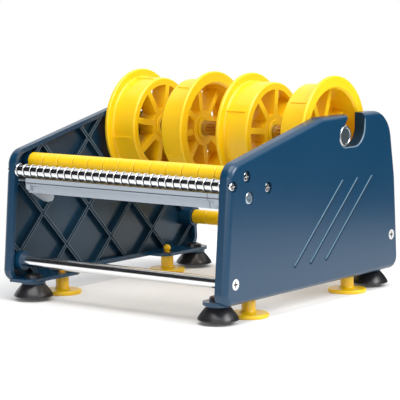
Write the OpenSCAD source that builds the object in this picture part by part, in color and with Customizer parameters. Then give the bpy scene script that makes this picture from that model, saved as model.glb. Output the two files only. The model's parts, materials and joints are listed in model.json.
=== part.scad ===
// Bench dispenser for rolls of labels: two moulded side plates joined by bars,
// a lift-out spindle with four core hubs, a roller, a ribbed bar and a guarded
// tear-off blade at the front, snap feet and suction cups below.
// X runs along the spindle, the front of the machine faces -Y and the bench is at z = 0.

/* [Frame] */
// Width over the outer faces of the side plates
frame_w = 202; // [190:1:240]
// Depth of a side plate, front to back, at its foot
plate_depth = 234.4; // [228:0.2:246]
// Height of a side plate's underside above the bench
plate_z = 14; // [13:0.5:15.5]
// Height of a side plate's top above the bench
plate_top = 137; // [135:0.5:140]
// Height of the front corner, where the sloped top begins
front_top = 110; // [108:0.5:114]
// Depth of a side plate's rim, across the machine
rim_depth = 9.1; // [8:0.1:11]
// Thickness of a side plate's rim wall
rim_wall = 3.4; // [2.6:0.1:4]
// Thickness of a side plate's web
web_t = 3; // [2.4:0.1:3.6]
// Radius of the rounded outer edge of a side plate
edge_r = 4.5; // [3:0.5:5]
// How far the rear edge leans in at its bend
rear_bend_in = 6.3; // [5:0.1:8]
// How far the rear edge leans in at its top
rear_top_in = 16.2; // [14:0.1:18]
// Height of the bend in the rear edge
rear_bend_z = 85; // [75:1:95]
// Distance of the ridge, where the slope ends, in front of the spindle
ridge_front = 31; // [28:0.5:34]
// Radius of the lower corners
foot_corner_r = 9; // [8:0.5:11]
// Radius of the upper rear corner
rear_corner_r = 24; // [20:0.5:26]
// Radius of the upper front corner
nose_r = 13; // [10:0.5:15]
// Radius of the ridge
ridge_r = 14; // [10:0.5:20]

/* [Lattice and stripes] */
// Length of one diamond of the inner rib lattice
diamond_l = 54; // [45:1:65]
// Height of one diamond of the inner rib lattice
diamond_h = 53; // [45:1:65]
// Thickness of a lattice rib
rib_t = 2.6; // [1.8:0.1:3.4]
// Height of a lattice rib above the web
rib_h = 4.2; // [3:0.1:4.6]
// Place of a lattice crossing behind the middle of the machine
lattice_y = -23; // [-40:0.5:-10]
// Height of that crossing
lattice_z = 61.5; // [55:0.5:70]
// Width of one raised stripe on the outer face
stripe_w = 2.4; // [1.6:0.1:3.6]
// Height of a stripe above the face
stripe_h = 0.7; // [0.4:0.1:1]
// Length of a stripe along its slope
stripe_l = 84; // [60:1:90]
// Distance between stripes
stripe_pitch = 20.8; // [16:0.2:24]
// Slope of the stripes in degrees
stripe_slope = 41.3; // [35:0.1:48]
// Place of the middle stripe's centre behind the middle of the machine
stripe_y = 22; // [15:0.5:30]
// Height of the stripes' centre
stripe_z = 60.4; // [55:0.1:65]

/* [Spindle] */
// Place of the spindle behind the middle of the machine
spindle_y = 37.2; // [32:0.1:42]
// Height of the spindle above the bench
spindle_z = 121.1; // [119.5:0.1:122]
// Diameter of the spindle rod
rod_d = 11.5; // [10:0.1:12.5]
// Diameter of the spindle's end bushes
bush_d = 16; // [15:0.1:17]
// Diameter of the collar that keeps the spindle between the plates
collar_d = 21; // [19:0.5:24]
// Thickness of that collar
collar_t = 1.7; // [1.2:0.1:2]
// Gap between the collar and the side plate
collar_gap = 0.5; // [0.4:0.1:1]
// Gap between a bush and its slot
slot_gap = 0.3; // [0.2:0.05:0.5]
// Width of the slot's mouth
mouth_w = 23.4; // [22.5:0.1:25]
// Radius of the slot's lower rear corner
slot_corner = 14; // [10:0.5:15]
// How far the hook reaches over the seated spindle
hook_l = 3.4; // [3:0.1:5]
// Size of the slanted corner under the hook
hook_ease = 5.4; // [3:0.1:5.8]
// How far the rod reaches into the side plates
rod_reach = 4; // [3:0.1:5]

/* [Core hubs] */
// Diameter of a hub where the paper core sits
hub_d = 75; // [70:0.5:77]
// Diameter of a hub's flange
flange_d = 88; // [84:0.5:92]
// Width of a hub
hub_w = 24; // [20:0.5:27]
// Thickness of a hub's flange
flange_t = 3.2; // [2.4:0.1:4]
// Thickness of a hub's outer wall
hub_wall = 3; // [2.4:0.1:3.6]
// Width of the ring around a hub's windows
hub_ring = 5.5; // [4.5:0.1:7]
// Thickness of a hub's spoked web
hub_web = 4; // [3:0.1:5]
// Number of spokes
spokes = 8; // [6:1:9]
// Width of a spoke
spoke_w = 4.4; // [3:0.1:5.5]
// Depth of the stiffening rib behind a spoke
spoke_h = 13; // [8:0.5:14]
// Diameter of a hub's boss
boss_d = 27; // [24:0.5:29]
// Length of a hub's boss
boss_l = 14; // [12:0.5:16]
// Number of grip ribs on a hub
grips = 4; // [2:1:8]
// Height of those ribs
grip_h = 0.7; // [0.4:0.1:1]
// Width of those ribs
grip_w = 1.6; // [1:0.1:2.4]
// Length of those ribs
grip_l = 17; // [12:0.1:18]
// Wall of the friction bush inside a hub
hub_bush_t = 1.8; // [1.4:0.1:2.2]
// Gap between the outer hubs' flanges and the side plates
hub_gap = 0.7; // [0.5:0.1:1.5]
// Place of the left middle hub's flange from the centre, to the left
middle_left = 17.5; // [14:0.5:20]
// Place of the right middle hub's flange from the centre, to the right
middle_right = 14; // [12:0.5:18]

/* [Front bars] */
// Height of the ribbed bar
bar_z = 96.3; // [94.5:0.1:97.5]
// Distance of the ribbed bar's axis behind the plates' front edge
bar_inset = 4.2; // [3.8:0.1:5]
// Diameter of the ribbed bar over its ribs
bar_d = 10; // [9:0.1:10.4]
// Depth of the grooves between ribs
groove_d = 0.6; // [0.4:0.1:1.2]
// Distance from rib to rib
rib_pitch = 6.5; // [5:0.1:8]
// Width of a rib
ring_w = 1.6; // [1.2:0.1:2.6]
// Distance of the roller behind the ribbed bar
roller_back = 15.9; // [15:0.1:17]
// Height of the roller above the ribbed bar
roller_up = 5.6; // [4.5:0.1:6.5]
// Diameter of the front roller's sleeves
roller_d = 13; // [12:0.1:13.8]
// Number of sleeves on the front roller
roller_n = 13; // [9:1:15]
// Diameter of the rod inside the front roller
roller_rod_d = 5; // [4.4:0.1:6]
// Distance of the guide rod behind the ribbed bar
guide_back = 42; // [39:0.5:45]
// Drop of the guide rod below the ribbed bar
guide_drop = 4.2; // [2:0.1:6]
// Diameter of the guide rod
guide_d = 8; // [7:0.1:10]

/* [Blade and guard] */
// Distance from the ribbed bar's axis down to the tips of the teeth
tip_drop = 7.3; // [7:0.1:8]
// Distance of the tips of the teeth in front of the ribbed bar's axis
tip_reach = 2.7; // [2.4:0.1:2.9]
// Width of the blade from its tips to its back edge
blade_w = 13.8; // [12.6:0.1:14.4]
// Thickness of the blade
blade_t = 0.8; // [0.6:0.1:1]
// Slope of the blade in degrees
blade_slope = 16; // [12:0.5:18]
// Distance from tooth to tooth
tooth_pitch = 1.8; // [1.4:0.1:3]
// Depth of a tooth
tooth_h = 1.5; // [1:0.1:2]
// How far the blade's end tabs go into their seats
blade_seat = 4; // [3:0.1:5]
// Distance of the end tabs behind the teeth's tips
tab_back = 6; // [5.5:0.1:7]
// Drop of the guard's lip below the ribbed bar's axis
lip_drop = 5; // [4.8:0.1:6]
// Height of the guard bar over its lip
guard_h = 10.9; // [9.5:0.1:11.5]
// Gap between the guard bar and the blade
guard_gap = 0.6; // [0.5:0.1:1.2]
// Height of the lip's front, down to its slanted underside
lip_h = 4.5; // [4:0.1:4.8]
// Thickness of the lip in front of the teeth
lip_t = 1.3; // [1:0.1:1.4]
// How far the lip stands in front of the face below it
lip = 3; // [2:0.1:3.4]
// Height of the slanted toe along the guard's lower edge
toe_h = 2.8; // [2:0.1:3.4]
// How far the toe leans back at its foot
toe = 0.6; // [0.3:0.1:1]
// Thickness of the guard bar behind its face
guard_t = 5; // [4.4:0.1:6]
// Length of the guard's end caps
cap_l = 9.4; // [8.5:0.1:12]
// Gap between the guard's right end cap and its side plate
cap_gap = 0.5; // [0.4:0.1:0.9]
// Room for the spring beside the guard's left end cap
spring_room = 10.4; // [9:0.1:11]
// Thickness of the pivot ear of an end cap
ear_t = 4; // [3:0.1:5]
// Distance of the guard's pivot behind the ribbed bar
pivot_back = 18.6; // [17.5:0.1:20]
// Drop of the guard's pivot below the ribbed bar
pivot_drop = 9.4; // [8.8:0.1:10.5]
// Diameter of the guard's pivot
pivot_d = 6; // [5:0.1:6.6]
// Distance of the tail's tip behind the pivot
tail_back = 0.6; // [-1:0.1:3]
// Drop of the tail's tip below the pivot
tail_drop = 11.6; // [10:0.1:13]
// Diameter of the guard spring's wire
wire_d = 1; // [0.8:0.05:1.2]
// Number of turns of the guard spring
spring_turns = 3; // [2:1:4]

/* [Tie bars] */
// Height of the lower front tie bar
tie_z = 29.2; // [27:0.1:34]
// Distance of the lower tie bar behind the plates' front edge
tie_inset = 12; // [11:0.1:15]
// Diameter of the lower tie bar
tie_d = 8.4; // [8:0.1:10]
// How far the lower tie bar's seats stand out of the rims
tie_seat = 3.4; // [2:0.1:6]
// Height of the rear bar
rear_z = 40.8; // [36:0.1:46]
// Distance of the rear bar in front of the plates' rear edge
rear_inset = 10; // [9:0.1:12]
// Diameter of the rear bar's sleeves
rear_d = 11.6; // [11:0.1:13]
// Number of sleeves on the rear bar
rear_n = 12; // [8:1:14]
// Diameter of the rod inside the rear sleeves
rear_rod_d = 7; // [6.2:0.1:7.6]
// How far the rear bar's seats stand out of the rims
rear_seat = 6.1; // [3:0.1:8]
// Diameter of the screws in the rods
screw_d = 3; // [2.6:0.1:3.2]
// Diameter of a screw's head
head_d = 7.4; // [6.6:0.1:7.6]
// Diameter of the smaller heads in the ribbed bar
bar_head_d = 6.6; // [6:0.1:7]
// Depth of the recess above a sunk screw head
head_sink = 0.6; // [0.4:0.1:1.4]
// Height of a screw's head
head_h = 2.2; // [1.8:0.1:2.6]
// Wall of the round seats behind the rods
seat_wall = 2; // [1.5:0.1:2.6]

/* [Feet and suction cups] */
// Distance of the feet from the middle, to each side
foot_x = 85.4; // [84:0.1:88]
// Distance of the feet from the side plates' ends
foot_inset = 51.3; // [49:0.1:55]
// Diameter of a foot's disc
foot_d = 29; // [26:0.5:31]
// Thickness of a foot's disc
foot_t = 3; // [2.4:0.1:3.6]
// Diameter of a foot's column
column_d = 10; // [9:0.1:11]
// Diameter of the ball on top of a foot
ball_d = 5.8; // [5:0.1:7]
// Distance of the suction cups from the middle, to each side
cup_x = 83.9; // [83:0.1:86]
// Distance of the suction cups from the side plates' ends
cup_inset = 16.7; // [15.2:0.1:18.2]
// Diameter of a suction cup's rim
cup_d = 29.4; // [27:0.2:31]
// Height of the cups' rims above the bench
cup_lift = 2.8; // [2.2:0.1:3.4]
// Wall of a suction cup
cup_wall = 1.6; // [1.2:0.1:2]
// Diameter of a suction cup's neck
neck_d = 9.6; // [8.6:0.1:10.4]
// Width of the shelves that carry feet and cups, from the rims inwards
shelf_w = 16; // [15.4:0.1:20]
// Thickness of a shelf
shelf_t = 2.5; // [2:0.1:3]
// Length of a shelf, front to back
shelf_l = 66; // [64:0.5:70]
// Depth of the round pad between a shelf and a cup
pad_t = 1.7; // [1.2:0.1:2]
// Diameter of that pad
pad_d = 18; // [15:0.5:18]

/* [Hidden] */
$fn = 64;

NAVY = "#1d4566";
YELLOW = "#f4c400";
CHROME = "#d9dcde";
STEEL = "#8d9196";
GUARD_GREY = "#afb9c4";
RUBBER = "#1c1c1f";
ZINC = "#9fb4c4";

// running clearance of a turning or sliding fit, on the radius
run = 0.05;
// clearance of a part that is only put in place
loose = 0.15;
// overshoot of a cut past a face
cut = 1;
// overlap that joins two solids of one part
join = 0.2;
inner_x = frame_w / 2 - rim_depth;
y_front = -plate_depth / 2;
y_rear = plate_depth / 2;
foot_y = y_rear - foot_inset;
cup_y = y_rear - cup_inset;
// the front edge leans back a little towards the top
front_lean = 0.08;
function front_y(z) = y_front + front_lean * (z - plate_z);
// radius of the soft bend in the rear edge
bend_r = 60;
// the top falls this much towards the ridge
ridge_fall = 0.5;
// the outline's corners, seen from the right, and their radii
corners = [[y_front, plate_z], [y_rear, plate_z], [y_rear - rear_bend_in, rear_bend_z],
    [y_rear - rear_top_in, plate_top], [spindle_y - ridge_front, plate_top - ridge_fall],
    [front_y(front_top), front_top]];
radii = [foot_corner_r, foot_corner_r, bend_r, rear_corner_r, ridge_r, nose_r];

bar_y = front_y(bar_z) + bar_inset;
roller_y = bar_y + roller_back;
roller_z = bar_z + roller_up;
guide_y = bar_y + guide_back;
guide_z = bar_z - guide_drop;
pivot_y = bar_y + pivot_back;
pivot_z = bar_z - pivot_drop;
tip_y = bar_y - tip_reach;
tip_z = bar_z - tip_drop;
tie_y = front_y(tie_z) + tie_inset;
rear_edge = y_rear - rear_bend_in * (rear_z - plate_z) / (rear_bend_z - plate_z);
rear_y = rear_edge - rear_inset;
rear_end = inner_x - rear_seat;
tie_end = inner_x - tie_seat;

seat_r = bush_d / 2 + slot_gap;
hook_y = spindle_y + hook_l;
mouth_rear = hook_y + mouth_w;

rod_bore = rod_d / 2 + run;
hub_bore = rod_bore + hub_bush_t + run;
hub_edge = inner_x - hub_gap;
// the four hubs: where the spoked face lies and which way the flange points
hubs = [[-hub_edge + hub_w, -1], [-middle_left - hub_w, 1],
    [middle_right + hub_w, -1], [hub_edge - hub_w, 1]];

// how far each hub happens to be turned
hub_turn = [56, 9, 5, 25];

guard_top = bar_z - lip_drop;
guard_low = guard_top - guard_h;
// the guard's body stays below the blade, only its lip stands up in front of the teeth
body_top = tip_z - blade_t - guard_gap;
guard_front = front_y(guard_top);
guard_face = guard_front + lip;
guard_back = guard_face + guard_t;
// outer ends of the right and the left cap, from the middle
cap_right = inner_x - cap_gap;
cap_left = inner_x - spring_room;
// gap between the spring's ends and what they lie against
spring_gap = 0.4;
spring_pitch = (spring_room - 2 * spring_gap - wire_d) / spring_turns;
spring_r = pivot_d / 2 + wire_d / 2 + 0.7;

shelf_in = inner_x - shelf_w;
shelf_top = plate_z + shelf_t;
pad_z = plate_z - pad_t;
head_r = head_d / 2;
bar_head_r = bar_head_d / 2;
// room round a sunk screw head
head_room = 0.5;
sink_r = head_r + head_room;
bar_sink_r = bar_head_r + head_room;
// the conical heads and the pivots' heads are a little larger
cone_r = head_r + 0.3;
pivot_head_r = head_r + 0.8;
// how far the screws reach into the rods, and their holes behind the rims
screw_in = 9;
hole_in = 12;
// ring of the tie bar's seats around the bar
tie_ring = 3;
// the blocks that hold the blade's end tabs: their wall and thickness
block_wall = 3.6;
block_t = 6.4;
// gap between the toothed part of the blade and the rims
tooth_gap = 0.5;
// the shelves start this far behind the plates' edges
shelf_back = 3;

function unit(v) = v / norm(v);
function left_of(v) = [-v.y, v.x];
function bend(p0, p1, p2) =
    let (a = left_of(unit(p1 - p0)), b = left_of(unit(p2 - p1))) (a + b) / (1 + a * b);
// 1 where the outline turns left at a corner, -1 where it turns right
function hand(P, i) = let (n = len(P), a = P[i] - P[(i + n - 1) % n], b = P[(i + 1) % n] - P[i])
    cross(a, b) < 0 ? -1 : 1;
// centre of the arc that rounds corner i of a polygon that runs anticlockwise
function arc_centre(P, R, i) = let (n = len(P))
    P[i] + hand(P, i) * R[i] * bend(P[(i + n - 1) % n], P[i], P[(i + 1) % n]);
// points of a rounded polygon, moved inwards by a given distance
function rounded(P, R, inwards = 0, steps = 8) = let (n = len(P)) [
    for (i = [0 : n - 1])
        let (a = left_of(unit(P[i] - P[(i + n - 1) % n])), b = left_of(unit(P[(i + 1) % n] - P[i])),
            turn = atan2(cross(a, b), a * b), s = hand(P, i), start = atan2(-s * a.y, -s * a.x),
            c = arc_centre(P, R, i))
        for (k = [0 : steps])
            let (t = start + turn * k / steps) c + (R[i] - s * inwards) * [cos(t), sin(t)]];
// points of an arc
function arc(c, r, from, to, steps = 8) =
    [for (k = [0 : steps]) let (t = from + (to - from) * k / steps) c + r * [cos(t), sin(t)]];

// turns a drawing in depth and height, extruded outwards, to stand across the machine
module across(x) {
    translate([x, 0, 0])
        rotate([90, 0, 90])
            children();
}

// places a copy for each side plate
module mirrored() {
    children();
    mirror([1, 0, 0])
        children();
}

// a rod along x between two planes
module rod(y, z, d, x0, x1) {
    translate([x0, y, z])
        rotate([0, 90, 0])
            cylinder(d = d, h = x1 - x0);
}

// rounded corner piece of a side plate: flat inside, round at the outer edge
module edge_disc(r) {
    rotate_extrude($fn = 40)
        polygon(concat([[0, 0], [r, 0]], arc([r - edge_r, rim_depth - edge_r], edge_r, 0, 90, 5),
            [[0, rim_depth]]));
}

// the slot in depth and height: seat, channel and mouth
module slot_shape(grow = 0) {
    corner = [mouth_rear, spindle_z - seat_r] + slot_corner * [-1, 1];
    translate([spindle_y, spindle_z])
        circle(r = seat_r + grow);
    translate([spindle_y, spindle_z - seat_r - grow])
        square([corner.x - spindle_y + join, 2 * (seat_r + grow)]);
    intersection() {
        translate(corner)
            circle(r = slot_corner + grow);
        translate([corner.x, corner.y - slot_corner - grow])
            square(slot_corner + grow + join);
    }
    translate([hook_y - grow, corner.y])
        square([mouth_rear - hook_y + 2 * grow, plate_top]);
    polygon([[hook_y - hook_ease - grow, spindle_z + seat_r], [hook_y, spindle_z + seat_r],
        [hook_y, spindle_z + seat_r + hook_ease]]);
}

// ribs that cross in diamonds, cut to the inside of the rim
module lattice() {
    slope = atan2(diamond_h, diamond_l);
    intersection() {
        polygon(rounded(corners, radii, rim_wall - join));
        for (k = [-5 : 5], side = [-1, 1])
            translate([lattice_y + k * diamond_l, lattice_z])
                rotate(side * slope)
                    square([3 * plate_depth, rib_t], center = true);
    }
}

// round seat for a rod or screw on the inside of a side plate
module seat(y, z, r, out = 0) {
    translate([y, z, -out])
        cylinder(r = r, h = rim_depth - web_t + out + join);
}

// hole for a sunk screw with a flat head
module sunk_hole(y, z, r, sink) {
    translate([y, z, -hole_in])
        cylinder(r = screw_d / 2 + loose, h = rim_depth + hole_in + cut);
    translate([y, z, rim_depth - sink - head_h])
        cylinder(r = r, h = sink + head_h + cut);
}

// hole for a flush screw with a conical head
module cone_hole(y, z) {
    translate([y, z, -hole_in])
        cylinder(r = screw_d / 2 + loose, h = rim_depth + hole_in + cut);
    translate([y, z, rim_depth - head_h])
        cylinder(r1 = screw_d / 2 + loose, r2 = cone_r + loose, h = head_h + 0.001);
}

// shelf that carries one foot and one cup, with a pad under it for the cup
module shelf(side) {
    edge = side * y_rear;
    far = side * (y_rear - shelf_l);
    front = min(edge, far) + (side > 0 ? 0 : shelf_back);
    back = max(edge, far) - (side > 0 ? shelf_back : 0);
    outer = inner_x + rim_wall;
    translate([0, 0, plate_z])
        linear_extrude(shelf_t)
            polygon(rounded([[shelf_in, front], [outer, front], [outer, back], [shelf_in, back]],
                [foot_corner_r, 0.5, 0.5, foot_corner_r]));
    translate([cup_x, side * cup_y, pad_z])
        cylinder(d = pad_d, h = pad_t + join);
}

// holes for a foot's column and a cup's neck
module shelf_holes(side) {
    translate([foot_x, side * foot_y, plate_z - cut])
        cylinder(d = column_d + 2 * run, h = shelf_t + 2 * cut);
    translate([cup_x, side * cup_y, pad_z - cut])
        cylinder(d = neck_d + 2 * loose, h = pad_t + shelf_t + 2 * cut);
}

// moulded side plate: rounded shell with rim, lattice, rod seats, slot and shelves
module side_plate() {
    difference() {
        union() {
            across(inner_x) {
                difference() {
                    hull()
                        for (i = [0 : len(corners) - 1])
                            translate(arc_centre(corners, radii, i))
                                edge_disc(radii[i]);
                    translate([0, 0, -cut])
                        linear_extrude(rim_depth - web_t + cut)
                            polygon(rounded(corners, radii, rim_wall));
                }
                translate([0, 0, rim_depth - web_t - rib_h])
                    linear_extrude(rib_h + join)
                        lattice();
                linear_extrude(rim_depth - web_t + join)
                    intersection() {
                        polygon(rounded(corners, radii, rim_wall / 2));
                        slot_shape(rim_wall);
                    }
                seat(roller_y, roller_z, sink_r + seat_wall);
                intersection() {
                    seat(bar_y, bar_z, bar_sink_r + seat_wall);
                    linear_extrude(rim_depth)
                        polygon(rounded(corners, radii, rim_wall / 2));
                }
                seat(guide_y, guide_z, sink_r + seat_wall);
                seat(pivot_y, pivot_z, pivot_d / 2 + seat_wall);
                seat(tie_y, tie_z, tie_d / 2 + tie_ring, tie_seat);
                seat(rear_y, rear_z, rear_d / 2 + seat_wall, rear_seat);
                blade_block();
                stripes();
            }
            for (side = [-1, 1])
                shelf(side);
        }
        across(inner_x) {
            translate([0, 0, -cut])
                linear_extrude(rim_depth + 2 * cut)
                    slot_shape();
            sunk_hole(roller_y, roller_z, sink_r, head_sink);
            sunk_hole(bar_y, bar_z, bar_sink_r, head_sink);
            sunk_hole(guide_y, guide_z, sink_r, head_sink);
            cone_hole(tie_y, tie_z);
            cone_hole(rear_y, rear_z);
            translate([pivot_y, pivot_z, -cut])
                cylinder(d = pivot_d + 2 * loose, h = rim_depth + 2 * cut);
            translate([pivot_y, pivot_z, rim_depth - head_h])
                cylinder(r = pivot_head_r + loose, h = head_h + cut);
            blade_slot();
        }
        for (side = [-1, 1])
            shelf_holes(side);
    }
}

// three raised slanted stripes on the outer face, round in section
module stripes() {
    r = (stripe_w * stripe_w / 4 + stripe_h * stripe_h) / (2 * stripe_h);
    for (k = [-1 : 1])
        translate([stripe_y + k * stripe_pitch, stripe_z, rim_depth + stripe_h - r])
            rotate(stripe_slope) {
                rotate([0, 90, 0])
                    cylinder(r = r, h = stripe_l, center = true);
                for (end = [-1, 1])
                    translate([end * stripe_l / 2, 0, 0])
                        sphere(r = r);
            }
}

// block that holds one end of the blade
module blade_block() {
    translate([tip_y, tip_z, 0])
        rotate(blade_slope)
            translate([tab_back - block_wall, -block_t / 2, 0])
                cube([blade_w - tab_back + 1.5 * block_wall, block_t, rim_depth - web_t + join]);
}

// slot in that block for the blade's end tab
module blade_slot() {
    translate([tip_y, tip_z, -cut])
        rotate(blade_slope)
            translate([tab_back - loose, -blade_t / 2 - loose, 0])
                cube([blade_w - tab_back + 2 * loose, blade_t + 2 * loose, blade_seat + loose + cut]);
}

module right_side_plate() {
    color(NAVY)
        side_plate();
}

module left_side_plate() {
    color(NAVY)
        mirror([1, 0, 0])
            side_plate();
}

module spindle_rod() {
    color(STEEL)
        rod(spindle_y, spindle_z, rod_d, -inner_x - rod_reach, inner_x + rod_reach);
}

// end of the spindle: collar inside the plate and a bush with a bevelled face in the slot
module spindle_end() {
    r = bush_d / 2;
    out = frame_w / 2;
    in = inner_x - collar_gap;
    bevel = 0.9;
    dish = 0.5;
    color(CHROME)
        translate([0, spindle_y, spindle_z])
            rotate([0, 90, 0])
                rotate_extrude()
                    polygon([[rod_d / 2, in - collar_t], [collar_d / 2, in - collar_t],
                        [collar_d / 2, in], [r, in], [r, out - bevel], [r - bevel, out],
                        [r - 2 * bevel, out], [r - 2 * bevel - dish, out - dish], [0, out - dish],
                        [0, inner_x + rod_reach], [rod_d / 2, inner_x + rod_reach]]);
}

module spindle_end_right() {
    spindle_end();
}

module spindle_end_left() {
    mirror([1, 0, 0])
        spindle_end();
}

// spoked hub for a paper core, from its spoked face at 0 to its flange
module hub_shape() {
    r = hub_d / 2;
    f = flange_d / 2;
    window_out = r - hub_ring;
    window_in = boss_d / 2;
    round = 1.2;
    fillet = 1.5;
    root = hub_w - flange_t;
    difference() {
        union() {
            rotate_extrude($fn = 96)
                polygon(concat([[r - hub_wall, 0.01], [r - fillet, 0]],
                    arc([r - fillet, fillet], fillet, -90, 0, 4), [[r, root - fillet]],
                    arc([r + fillet, root - fillet], fillet, 180, 90, 4),
                    arc([f - round, root + round], round, -90, 0, 4),
                    arc([f - round, hub_w - round], round, 0, 90, 4),
                    [[r - hub_wall + fillet, hub_w], [r - hub_wall, hub_w - fillet]]));
            cylinder(r = r - hub_wall + join, h = hub_web);
            cylinder(d = boss_d, h = boss_l);
            for (k = [0 : spokes - 1])
                rotate(k * 360 / spokes)
                    translate([window_in - 1, -spoke_w / 2, 0])
                        cube([r - hub_wall - window_in + 1 + join, spoke_w, spoke_h]);
            for (k = [0 : grips - 1])
                rotate(k * 360 / grips + 180 / spokes)
                    translate([r - 0.5, -grip_w / 2, root - grip_l])
                        cube([grip_h + 0.5, grip_w, grip_l + join]);
        }
        translate([0, 0, -cut])
            linear_extrude(hub_web + 2 * cut)
                difference() {
                    circle(r = window_out);
                    circle(r = window_in);
                    for (k = [0 : spokes - 1])
                        rotate(k * 360 / spokes)
                            translate([0, -spoke_w / 2])
                                square([r, spoke_w]);
                }
        translate([0, 0, -cut])
            cylinder(r = hub_bore, h = boss_l + 2 * cut);
    }
}

// places a hub piece at hub i on the spindle
module at_hub(i) {
    translate([hubs[i][0], spindle_y, spindle_z])
        rotate([0, hubs[i][1] * 90, 0])
            rotate(hub_turn[i])
                children();
}

module core_hub(i) {
    color(YELLOW)
        at_hub(i)
            hub_shape();
}

// bush that grips the rod and lets its hub turn: a sleeve with a thin flange at each end
module hub_bush(i) {
    r = hub_bore - run;
    f = r + 1.6;
    face = 0.1;
    bead = 1.2;
    color(YELLOW)
        at_hub(i)
            rotate_extrude()
                polygon([[rod_bore, -face - bead], [f, -face - bead], [f, -face], [r, -face],
                    [r, boss_l + face], [f, boss_l + face], [f, boss_l + face + bead],
                    [rod_bore, boss_l + face + bead]]);
}

module core_hub_1() { core_hub(0); }
module core_hub_2() { core_hub(1); }
module core_hub_3() { core_hub(2); }
module core_hub_4() { core_hub(3); }
module hub_bush_1() { hub_bush(0); }
module hub_bush_2() { hub_bush(1); }
module hub_bush_3() { hub_bush(2); }
module hub_bush_4() { hub_bush(3); }

// a rod between two planes with a screw hole in each end
module drilled_rod(y, z, d, end) {
    difference() {
        rod(y, z, d, -end, end);
        mirrored()
            rod(y, z, screw_d + 2 * run, end - screw_in - 1, end + cut);
    }
}

// one sleeve of a roller, from 0 along x, with a round bore and eased ends
module sleeve(d, bore, l) {
    ease = 0.5;
    rotate([0, 90, 0])
        rotate_extrude($fn = 48)
            polygon([[bore, 0], [d / 2 - ease, 0], [d / 2, ease], [d / 2, l - ease],
                [d / 2 - ease, l], [bore, l]]);
}

// sleeves from one number to another of a roller with n sleeves between two planes
module sleeves(y, z, d, rod_d, end, n, from, to) {
    gap = 0.4;
    pitch = (2 * end - gap) / n;
    for (k = [from : to])
        translate([-end + gap + k * pitch, y, z])
            sleeve(d, rod_d / 2 + run, pitch - gap);
}

module front_roller_rod() {
    color(STEEL)
        drilled_rod(roller_y, roller_z, roller_rod_d, inner_x);
}

module front_sleeves_left() {
    color(YELLOW)
        sleeves(roller_y, roller_z, roller_d, roller_rod_d, inner_x, roller_n,
            0, floor(roller_n / 2) - 1);
}

module front_sleeves_right() {
    color(YELLOW)
        sleeves(roller_y, roller_z, roller_d, roller_rod_d, inner_x, roller_n,
            floor(roller_n / 2), roller_n - 1);
}

module ribbed_bar() {
    r = bar_d / 2;
    core = r - groove_d;
    count = floor((2 * inner_x - ring_w) / rib_pitch);
    first = -count * rib_pitch / 2;
    rings = [for (k = [0 : count])
        let (x = first + k * rib_pitch, h = ring_w / 2, e = ring_w / 4)
        each [[core, x - h], [r - 0.25, x - h + e / 2], [r, x - h + e],
            [r, x + h - e], [r - 0.25, x + h - e / 2], [core, x + h]]];
    color(CHROME)
        difference() {
            translate([0, bar_y, bar_z])
                rotate([0, 90, 0])
                    rotate_extrude($fn = 48)
                        polygon(concat([[0, -inner_x], [core, -inner_x]], rings,
                            [[core, inner_x], [0, inner_x]]));
            mirrored()
                rod(bar_y, bar_z, screw_d + 2 * run, inner_x - screw_in - 1, inner_x + cut);
        }
}

module guide_rod() {
    color(CHROME)
        drilled_rod(guide_y, guide_z, guide_d, inner_x);
}

// blade with saw teeth along its lower front edge
module cutter_blade() {
    end = inner_x + blade_seat;
    shoulder = inner_x - tooth_gap;
    toothed = shoulder - tooth_gap;
    count = floor(2 * toothed / tooth_pitch);
    first = -count * tooth_pitch / 2;
    teeth = [for (k = [0 : count - 1])
        let (x = first + k * tooth_pitch)
        each [[x, tooth_h], [x + tooth_pitch / 2, 0]]];
    color(STEEL)
        translate([0, tip_y, tip_z])
            rotate([blade_slope, 0, 0])
                translate([0, 0, -blade_t / 2])
                    linear_extrude(blade_t)
                        polygon(concat([[-end, blade_w], [-end, tab_back], [-shoulder, tab_back],
                            [-shoulder, tooth_h]], teeth, [[first + count * tooth_pitch, tooth_h],
                            [shoulder, tooth_h], [shoulder, tab_back], [end, tab_back], [end, blade_w]]));
}

// section of the guard: a body below the blade, a grooved lip before the teeth and a toe
module guard_section() {
    ease = 0.4;
    sweep = 1.3;
    brow = guard_top - lip_h;
    line = brow + 1.2;
    polygon([[guard_back, guard_low], [guard_back, body_top], [guard_front + lip_t, body_top],
        [guard_front + lip_t, guard_top], [guard_front + ease, guard_top],
        [guard_front, guard_top - ease], [guard_front, line + ease], [guard_front + ease, line + ease / 2],
        [guard_front + ease, line - ease / 2], [guard_front, line - ease],
        [guard_front, brow + ease], [guard_front + ease, brow], [guard_face, brow - sweep],
        [guard_face, guard_low + toe_h], [guard_face + toe, guard_low + ease],
        [guard_face + toe + ease, guard_low]]);
}

// block on an end of the guard bar that plugs into an end cap
module guard_plug(cap_in, grow = 0) {
    wall = 1.4;
    l = cap_l - ear_t - 1;
    translate([cap_in - cut, guard_face + wall - grow, guard_low + wall - grow])
        cube([l + cut + grow, guard_t - 2 * wall + 2 * grow, body_top - guard_low - 2 * wall + 2 * grow]);
}

module guard_bar() {
    right = cap_right - cap_l;
    left = cap_left - cap_l;
    color(GUARD_GREY) {
        across(-left)
            linear_extrude(left + right)
                guard_section();
        guard_plug(right);
        mirror([1, 0, 0])
            guard_plug(left);
    }
}

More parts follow.
